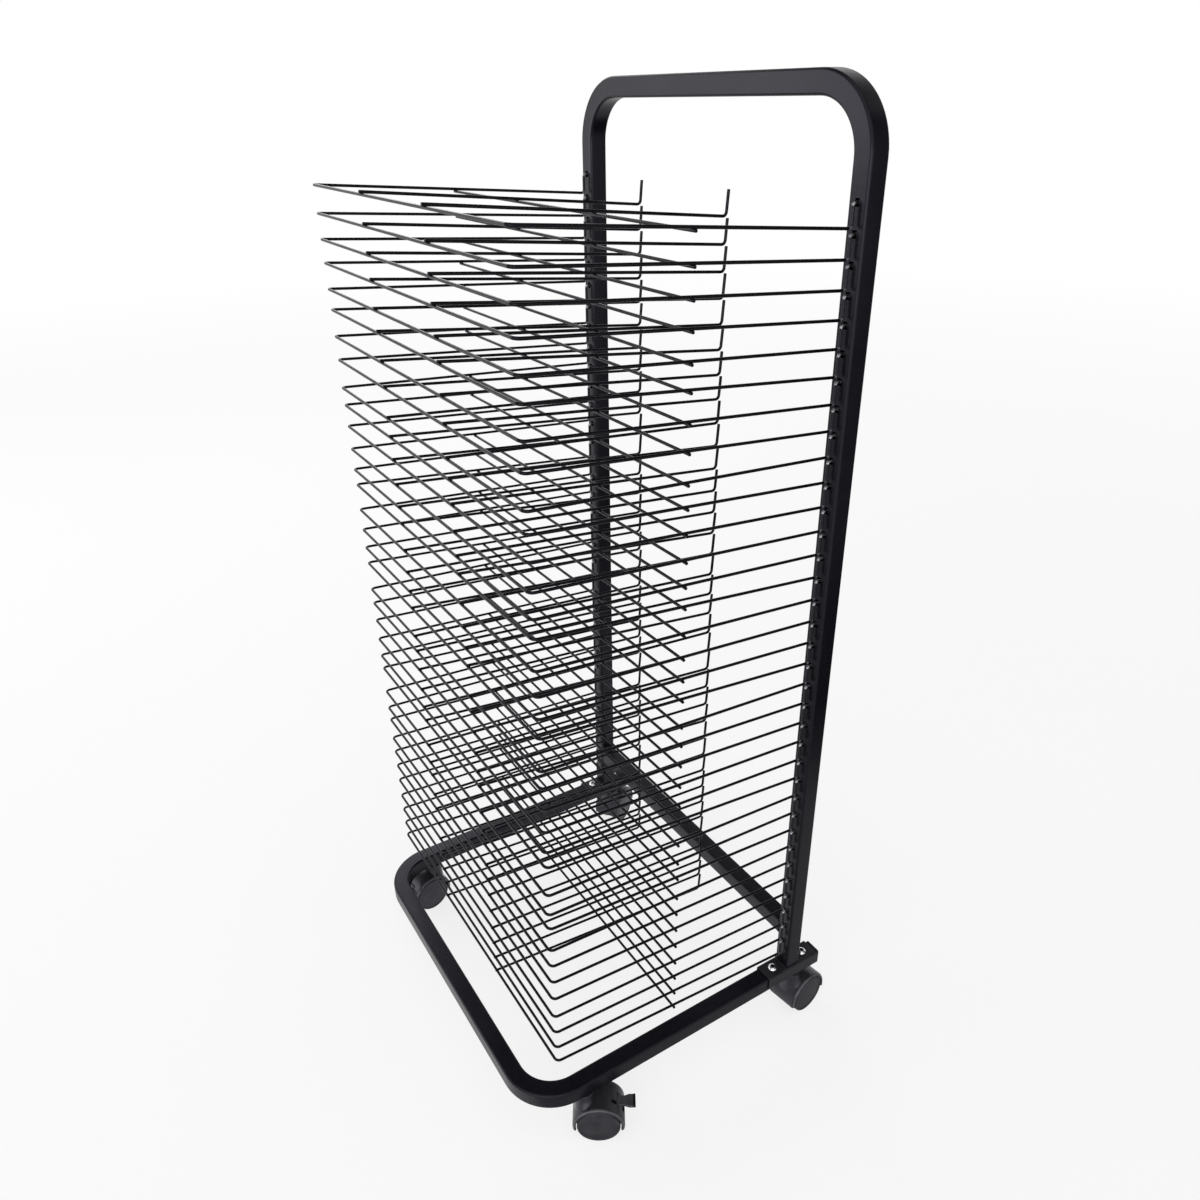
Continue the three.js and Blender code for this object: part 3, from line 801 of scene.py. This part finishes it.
def shelf_tilt(number):
    trend = TILT_TREND * (1 - 2 * (number - 1) / (SHELF_COUNT - 1))
    usual = SHELF_TILT + trend + WAVER * math.sin(WAVER_STEP * number)
    if number in HIGH_SHELVES:
        return usual + HIGH_BY
    if number in LOW_SHELVES:
        return usual + LOW_BY
    return usual


def wire(bm, path):
    """A round wire along a path of (corner, bend radius), with its cut ends broken."""
    first = (path[1][0] - path[0][0]).normalized()
    last = (path[-1][0] - path[-2][0]).normalized()
    ring = round_ring(bm, path[0][0], first, WIRE / 2, WIRE_SIDES)
    end = follow(bm, ring, path, WIRE_BEND_STEPS)
    close_round(bm, ring, -first, CUT_END)
    close_round(bm, end, last, CUT_END)


def build_shelf(number):
    """One welded shelf: the outer wire with its hooks, two depth wires with stops, and a cross wire."""
    name = f"shelf_{number:02d}"
    pivot = joint_place(f"{name}_lift")
    tilt = math.radians(shelf_tilt(number))
    run, climb = math.cos(tilt), math.sin(tilt)
    lift = WIRE - WELD_SINK

    def place(x, out, up):
        """A place across, out from the heel of the hook, and up from the plane of the outer wire."""
        back = up * climb - out * run
        height = up * run + out * climb
        return pivot + Vector((x, back - HOOK_STANDOFF, height - HOOK_RISE))

    def half(x):
        return [
            (pivot + Vector((x, HOOK_REACH, HOOK_TIP)), 0),
            (pivot + Vector((x, HOOK_REACH, 0)), HOOK_BEND),
            (pivot + Vector((x, -HOOK_STANDOFF, 0)), HOOK_BEND),
            (place(x, 0, 0), HEEL_BEND),
            (place(x, SHELF_DEPTH, 0), SHELF_CORNER),
        ]

    def rise(out):
        return lift * (out - CROSS_WIRE_AT) / (SHELF_DEPTH - CROSS_WIRE_AT)

    bm = bmesh.new()
    wire(bm, half(-UPRIGHT_X) + half(UPRIGHT_X)[::-1])
    for x in (DEPTH_WIRE_X, -DEPTH_WIRE_X):
        wire(bm, [
            (place(x, SHELF_DEPTH + WIRE_STUB, rise(SHELF_DEPTH)), 0),
            (place(x, DEPTH_WIRE_BACK, rise(DEPTH_WIRE_BACK)), BACK_STOP_BEND),
            (place(x, DEPTH_WIRE_BACK, BACK_STOP), 0),
        ])
        bead(bm, place(x, SHELF_DEPTH, lift / 2), WELD_BEAD, (1.35, 1.2, 0.7))
        bead(bm, place(x, CROSS_WIRE_AT, -lift / 2), WELD_BEAD, (1.3, 1.3, 0.7))
    crossing = UPRIGHT_X + WIRE_STUB
    wire(bm, [(place(-crossing, CROSS_WIRE_AT, -lift), 0), (place(crossing, CROSS_WIRE_AT, -lift), 0)])
    for side in SIDES.values():
        bead(bm, place(side * UPRIGHT_X, CROSS_WIRE_AT, -lift / 2), WELD_BEAD, (1.2, 1.35, 0.7))
    bmesh.ops.recalc_face_normals(bm, faces=bm.faces)
    make_piece(f"{name}_wires", bm, coated_wire, "coated_wire", name, name)


# Casters

def caster_matrix(name):
    """The turn from (along the heading, along the axle, up) about the axle to the frame, and the trail."""
    stem = joint_place(f"caster_{name}_swivel")
    axle = joint_place(f"wheel_{name}_a_spin")
    trail = Vector((axle.x - stem.x, axle.y - stem.y, 0))
    along = trail.normalized()
    turn = Matrix((along, UP.cross(along), UP)).transposed().to_4x4()
    return Matrix.Translation(axle) @ turn, trail.length


def about_axle(radius, degrees, across=0.0):
    angle = math.radians(degrees)
    return Vector((radius * math.cos(angle), across, radius * math.sin(angle)))


def is_lever_slot(face):
    """Whether a face of the hood is where the brake lever comes out."""
    middle = face.calc_center_median()
    angle = math.degrees(math.atan2(middle.z, middle.x))
    in_notch = NOTCH_SPAN[0] < middle.y < NOTCH_SPAN[1]
    end = NOTCH_TO if in_notch else LEVER_SLOT_TO
    return abs(middle.y) < HOOD_HALF_OUTLINE[0][0] and LEVER_SLOT_FROM < angle < end


def build_hood_shell(name, braked):
    """The barrel of the hood, with a rolled rim round each open end."""
    matrix, _ = caster_matrix(name)
    start, stop = -HOOD_DROP, 180 + HOOD_DROP
    outline = [(-across, drop) for across, drop in HOOD_HALF_OUTLINE[::-1]]
    outline += [(across, 0.0) for across in NOTCH_SPAN]
    outline += HOOD_HALF_OUTLINE
    bm = bmesh.new()
    # This layer marks the rim's outline points, where the painted highlight goes
    highlight_layer = bm.verts.layers.float.new(RIM)
    edges = profile_edges(bm, [about_axle(HOOD_RADIUS - drop, start, across) for across, drop in outline])
    for vert, (_, drop) in zip(verts_of(edges), outline):
        vert[highlight_layer] = float(RIM_HIGHLIGHT_DROPS[0] < drop < RIM_HIGHLIGHT_DROPS[1])
    turned(bm, edges, (0, 0, 0), -ALONG_Y, math.radians(stop - start), (stop - start) // HOOD_STEP)
    face_away(bm, Vector())
    if braked:
        bmesh.ops.delete(bm, geom=[face for face in bm.faces if is_lever_slot(face)], context="FACES")
    bmesh.ops.transform(bm, matrix=matrix, verts=bm.verts)
    body = f"caster_{name}"
    shell = make_piece(f"{body}_shell", bm, hood_plastic, "hood_plastic", body, f"{body}_hood")
    thicken(shell, HOOD_WALL)
    soften(shell, HOOD_EDGE)


def flared_boss(bm, trail, top):
    """A round boss about the stem that spreads out over the hood's barrel, as rings from foot to top."""
    barrel = HOOD_RADIUS - HOOD_WALL / 2
    rings = []
    for share, along, across in BOSS_FLARE:
        ring = round_ring(bm, Vector(), UP, 1.0, BOSS_SIDES)
        bmesh.ops.scale(bm, vec=(along, across, 1), verts=verts_of(ring))
        bmesh.ops.translate(bm, vec=(-trail, 0, 0), verts=verts_of(ring))
        for vert in verts_of(ring):
            vert.co.z = (1 - share) * math.sqrt(barrel ** 2 - vert.co.x ** 2) + share * top
        rings.append(ring)
    for lower, upper in zip(rings, rings[1:]):
        bmesh.ops.bridge_loops(bm, edges=lower + upper)
    return rings


def build_hood_core(name):
    """The web between the wheels, the axle, and the boss with its stem."""
    matrix, trail = caster_matrix(name)
    hood_low, hood_high = node_box(f"caster_{name}_hood")
    bm = bmesh.new()
    bmesh.ops.create_circle(
        bm, cap_ends=True, segments=WHEEL_STEPS, radius=HOOD_RADIUS - HOOD_WALL / 2,
        matrix=Matrix.Translation((0, -WEB_THICKNESS / 2, 0)) @ Matrix.Rotation(math.pi / 2, 4, "X"),
    )
    bmesh.ops.bisect_plane(
        bm, geom=bm.verts[:] + bm.edges[:] + bm.faces[:], plane_co=(0, 0, -WEB_CUT), plane_no=-UP,
        clear_outer=True,
    )
    raised(bm, bm.faces[:], ALONG_Y * WEB_THICKNESS)
    rod(bm, ALONG_Y * -AXLE_LENGTH / 2, ALONG_Y * AXLE_LENGTH / 2, AXLE_RADIUS, 20)
    rings = flared_boss(bm, trail, base_low.z - 1 - WHEEL_RADIUS)
    bmesh.ops.edgeloop_fill(bm, edges=rings[0])
    neck = STEM_RADIUS / BOSS_FLARE[-1][1]
    close_round(bm, rings[-1], UP, ((0.0, neck), (hood_high.z - base_low.z, neck), (1, neck * 0.8)))
    bmesh.ops.recalc_face_normals(bm, faces=bm.faces)
    bmesh.ops.transform(bm, matrix=matrix, verts=bm.verts)
    core = make_piece(f"caster_{name}_core", bm, hood_plastic, "hood_plastic", f"caster_{name}")
    soften(core, HOOD_EDGE)


def build_wheel(name, letter):
    """A wheel with a crowned tread, a rim lip and a domed cover."""
    matrix, _ = caster_matrix(name)
    way = 1 if letter == "a" else -1
    bm = bmesh.new()
    outline = profile_edges(bm, [(radius, way * out, 0) for radius, out in WHEEL_OUTLINE])
    spun(bm, outline, ALONG_Y, WHEEL_STEPS)
    bmesh.ops.edgeloop_fill(bm, edges=[edge for edge in bm.edges if edge.is_boundary])
    bmesh.ops.recalc_face_normals(bm, faces=bm.faces)
    bmesh.ops.transform(bm, matrix=matrix, verts=bm.verts)
    make_piece(
        f"caster_{name}_tread_{letter}", bm, wheel_plastic, "wheel_plastic", f"wheel_{name}_{letter}",
        f"caster_{name}_wheel_{letter}",
    )


def build_lever(name):
    """A foot lever: a ribbed paddle coloured lighter as painted light, its knuckle, the brake shoe under
    it, and a lip at its end coloured darker as painted shade.
    """
    matrix, _ = caster_matrix(name)
    pivot = about_axle(HOOD_RADIUS, LEVER_PIVOT_ANGLE)
    inner = WHEEL_RADIUS + SHOE_GAP
    root = about_axle(inner + SHOE_THICKNESS / 2, LEVER_PIVOT_ANGLE)
    end = pivot.x + LEVER_REACH - LIP_DEPTH
    length = end - root.x
    bm = bmesh.new()
    bmesh.ops.create_grid(bm, x_segments=4, y_segments=1, size=0.5)
    bmesh.ops.scale(bm, vec=(length, LEVER_WIDTH, 1), verts=bm.verts)
    neck = [vert for vert in bm.verts if -length / 3 < vert.co.x < length / 8]
    bmesh.ops.scale(bm, vec=(1, LEVER_NECK, 1), verts=neck)
    raised(bm, bm.faces[:], UP * -LEVER_THICKNESS)
    bmesh.ops.translate(bm, vec=(root.x + length / 2, 0, pivot.z), verts=bm.verts)
    for i in range(LEVER_RIBS):
        rib = bmesh.ops.create_cube(bm, size=1.0)["verts"]
        bmesh.ops.scale(bm, vec=(RIB_WIDTH, LEVER_WIDTH * 0.75, RIB_HEIGHT), verts=rib)
        at = Vector((end - RIB_STEP * (i + 1), 0, pivot.z + 0.1))
        bmesh.ops.translate(bm, vec=at, verts=rib)
    knuckle = pivot + Vector((-1.0, 0, -LEVER_THICKNESS / 2))
    reach = ALONG_Y * LEVER_WIDTH * 0.48
    rod(bm, knuckle - reach, knuckle + reach, KNUCKLE_RADIUS, 20)
    half = LEVER_WIDTH / 2
    outer = inner + SHOE_THICKNESS
    corners = ((inner, -half), (inner, half), (outer, half), (outer, -half))
    shoe = profile_edges(bm, [about_axle(radius, SHOE_ANGLE, across) for radius, across in corners])
    rim = verts_of(shoe)
    shoe.append(bm.edges.new((rim[-1], rim[0])))
    sweep = math.radians(LEVER_PIVOT_ANGLE - SHOE_ANGLE)
    last = turned(bm, shoe, (0, 0, 0), -ALONG_Y, sweep, SHOE_STEPS)
    for ring in (shoe, last):
        bmesh.ops.edgeloop_fill(bm, edges=ring)
    bmesh.ops.recalc_face_normals(bm, faces=bm.faces)
    bmesh.ops.transform(bm, matrix=matrix, verts=bm.verts)
    lever = f"brake_lever_{name}"
    # The pedal's plastic is lighter than the hood's: painted light on its top
    piece = make_piece(f"{lever}_pedal", bm, lever_painted_light, "hood_plastic", lever, lever)
    soften(piece, HOOD_EDGE)
    lip = bmesh.new()
    corners = [(end + out, -half, pivot.z + up) for out, up in LIP_OUTLINE]
    profile_edges(lip, corners + corners[:1])
    bmesh.ops.remove_doubles(lip, verts=lip.verts, dist=MERGE)
    bmesh.ops.edgeloop_fill(lip, edges=lip.edges[:])
    raised(lip, lip.faces[:], ALONG_Y * LEVER_WIDTH)
    bmesh.ops.recalc_face_normals(lip, faces=lip.faces)
    bmesh.ops.transform(lip, matrix=matrix, verts=lip.verts)
    soften(make_piece(f"{lever}_lip", lip, lip_painted_shade, "hood_plastic", lever), HOOD_EDGE)


build_upright_frame()
build_crossbar()
build_base_frame()
for hand, side in SIDES.items():
    build_end_plug(hand, side)
    build_foot_plate(hand)
    for end, way in SCREW_ENDS.items():
        build_screw(hand, side, end, way)
build_welds()
for number in range(1, SHELF_COUNT + 1):
    build_shelf(number)
for name in ("front_right", "front_left", "rear_right", "rear_left"):
    braked = name.startswith("front")
    build_hood_shell(name, braked)
    build_hood_core(name)
    for letter in "ab":
        build_wheel(name, letter)
    if braked:
        build_lever(name)
for piece in pieces:
    level_shading(piece)


# Stage: a pale floor in a pale room, soft light and the camera

CAMERA_PLACE = Vector((829.0, -482.55, 1062.8))
CAMERA_AZIMUTH = 58.634
CAMERA_ELEVATION = 27.935
CAMERA_ROLL = 1.12
CAMERA_FOCAL = 957.75
IMAGE_SIZE = 1200.0
SENSOR = 36.0
ROOM_WHITE = (1.0, 1.0, 1.0)
CEILING_GREY = (0.07, 0.07, 0.08)
WALL_TOP = 0.52
CEILING_FROM = 0.70
FLOOR_SIZE = 40.0
FLOOR_GLOW = 0.75
GLOW_FROM = 1.2
GLOW_TO = 6.0
SCREEN_WAY = Vector((0.69, 0.72, 0.0))
SCREEN_NEAR = 0.52
SCREEN_FAR = 2.5
SCREEN_HEIGHT = 3.0
SCREEN_FROM = -0.3
SCREEN_TO = 1.3
MAT_NEAR = 0.229
MAT_FAR = 1.4
MAT_FRONT = -0.45
MAT_DEPTH = 1.6


def add_camera():
    azimuth, elevation, roll = (math.radians(x) for x in (CAMERA_AZIMUTH, CAMERA_ELEVATION, CAMERA_ROLL))
    level = math.cos(elevation)
    back = Vector((math.sin(azimuth) * level, -math.cos(azimuth) * level, math.sin(elevation)))
    right = Vector((math.cos(azimuth), math.sin(azimuth), 0))
    turn = Matrix((right, back.cross(right), back)).transposed() @ Matrix.Rotation(-roll, 3, "Z")
    data = bpy.data.cameras.new("photo_camera")
    data.sensor_width = SENSOR
    data.lens = CAMERA_FOCAL / IMAGE_SIZE * SENSOR
    data.clip_start = 0.01
    camera = bpy.data.objects.new("photo_camera", data)
    camera.matrix_world = Matrix.Translation(CAMERA_PLACE * MM) @ turn.to_4x4()
    bpy.context.scene.collection.objects.link(camera)
    bpy.context.scene.camera = camera


def add_sun(name, source, strength, spread):
    """A soft source, even over the whole floor."""
    data = bpy.data.lights.new(name, "SUN")
    data.energy = strength
    data.angle = math.radians(spread)
    sun = bpy.data.objects.new(name, data)
    sun.rotation_euler = (-Vector(source)).to_track_quat("-Z", "Y").to_euler()
    bpy.context.scene.collection.objects.link(sun)


def add_lamp(name, place, aim, size, power):
    """A soft panel of light."""
    data = bpy.data.lights.new(name, "AREA")
    data.shape = "RECTANGLE"
    data.size, data.size_y = size
    data.energy = power
    lamp = bpy.data.objects.new(name, data)
    lamp.location = place
    lamp.rotation_euler = (Vector(aim) - Vector(place)).to_track_quat("-Z", "Y").to_euler()
    lamp.visible_camera = False
    bpy.context.scene.collection.objects.link(lamp)


def add_screen(name, corners, sweep, grey):
    """A sheet beside the rack, out of the picture, which only shows in reflections."""
    bm = bmesh.new()
    extruded(bm, profile_edges(bm, corners), sweep)
    mesh = bpy.data.meshes.new(name)
    bm.to_mesh(mesh)
    bm.free()
    material = bpy.data.materials.new(f"{name}_cloth")
    material.use_nodes = True
    shader = material.node_tree.nodes["Principled BSDF"]
    shader.inputs["Base Color"].default_value = (grey, grey, grey, 1)
    shader.inputs["Roughness"].default_value = 1.0
    shader.inputs["Specular IOR Level"].default_value = 0.0
    mesh.materials.append(material)
    screen = bpy.data.objects.new(name, mesh)
    screen.visible_camera = False
    screen.visible_diffuse = False
    screen.visible_shadow = False
    bpy.context.scene.collection.objects.link(screen)


def add_screens():
    """A black screen behind the right of the rack, and a grey mat along its right side."""
    away = SCREEN_WAY.normalized()
    side = UP.cross(away)
    foot = Vector((UPRIGHT_X, UPRIGHT_Y, 4.0)) * MM + side * SCREEN_FROM
    bend = foot + away * SCREEN_FAR
    corners = (foot + away * SCREEN_NEAR, bend, bend + UP * SCREEN_HEIGHT)
    add_screen("black_screen", corners, side * (SCREEN_TO - SCREEN_FROM), 0.02)
    edge = [Vector((x, MAT_FRONT, 2.0 * MM)) for x in (MAT_NEAR, MAT_FAR)]
    add_screen("grey_mat", edge, ALONG_Y * MAT_DEPTH, 0.58)


def add_world():
    """White walls, and a dimmer ceiling above them."""
    world = bpy.data.worlds.new("pale_room")
    bpy.context.scene.world = world
    world.use_nodes = True
    tree = world.node_tree
    background = tree.nodes["Background"]
    way = node(tree, "ShaderNodeTexCoord").outputs["Generated"]
    height = node(tree, "ShaderNodeSeparateXYZ", {"Vector": way}).outputs["Z"]
    colour = blended(tree, stepped(tree, height, WALL_TOP, CEILING_FROM), ROOM_WHITE, CEILING_GREY)
    tree.links.new(colour, background.inputs["Color"])


def add_floor():
    bm = bmesh.new()
    bmesh.ops.create_grid(bm, x_segments=1, y_segments=1, size=FLOOR_SIZE)
    mesh = bpy.data.meshes.new("studio_floor")
    bm.to_mesh(mesh)
    bm.free()
    material = bpy.data.materials.new("pale_floor")
    material.use_nodes = True
    tree = material.node_tree
    shader = tree.nodes["Principled BSDF"]
    at = node(tree, "ShaderNodeTexCoord").outputs["Object"]
    tone = blended(tree, noise(tree, at, 3.0), (0.855, 0.855, 0.855), (0.875, 0.875, 0.875))
    tree.links.new(tone, shader.inputs["Base Color"])
    shader.inputs["Roughness"].default_value = 0.9
    shader.inputs["Specular IOR Level"].default_value = 0.0
    light = node(tree, "ShaderNodeLightPath")
    seen = combined(tree, "MAXIMUM", light.outputs["Is Camera Ray"], light.outputs["Is Glossy Ray"])
    seen = combined(tree, "MAXIMUM", seen, light.outputs["Is Transmission Ray"])
    distance = node(tree, "ShaderNodeVectorMath", {"Vector": at}, operation="LENGTH").outputs["Value"]
    white = times(tree, seen, stepped(tree, distance, GLOW_FROM, GLOW_TO, FLOOR_GLOW, 1.0))
    glow = node(tree, "ShaderNodeEmission")
    mixed = node(tree, "ShaderNodeMixShader", {"Fac": white})
    tree.links.new(shader.outputs["BSDF"], mixed.inputs[1])
    tree.links.new(glow.outputs["Emission"], mixed.inputs[2])
    tree.links.new(mixed.outputs["Shader"], tree.nodes["Material Output"].inputs["Surface"])
    mesh.materials.append(material)
    floor = bpy.data.objects.new("studio_floor", mesh)
    bpy.context.scene.collection.objects.link(floor)


add_camera()
add_world()
add_floor()
add_screens()
add_sun("soft_top", (0.30, -0.30, 0.90), 1.1, 70)
add_lamp("front_window", (-2.2, -2.6, 1.2), (0, 0, 0.5), (2.4, 1.8), 30)
add_lamp("right_window", (3.05, -2.68, 0.85), (0.216, 0.148, 0.85), (5.0, 1.0), 63)
add_lamp("left_window", (-2.4, 0.3, 2.0), (-0.1, -0.2, 0.1), (1.0, 1.0), 10)
bpy.context.scene.view_settings.view_transform = "Standard"
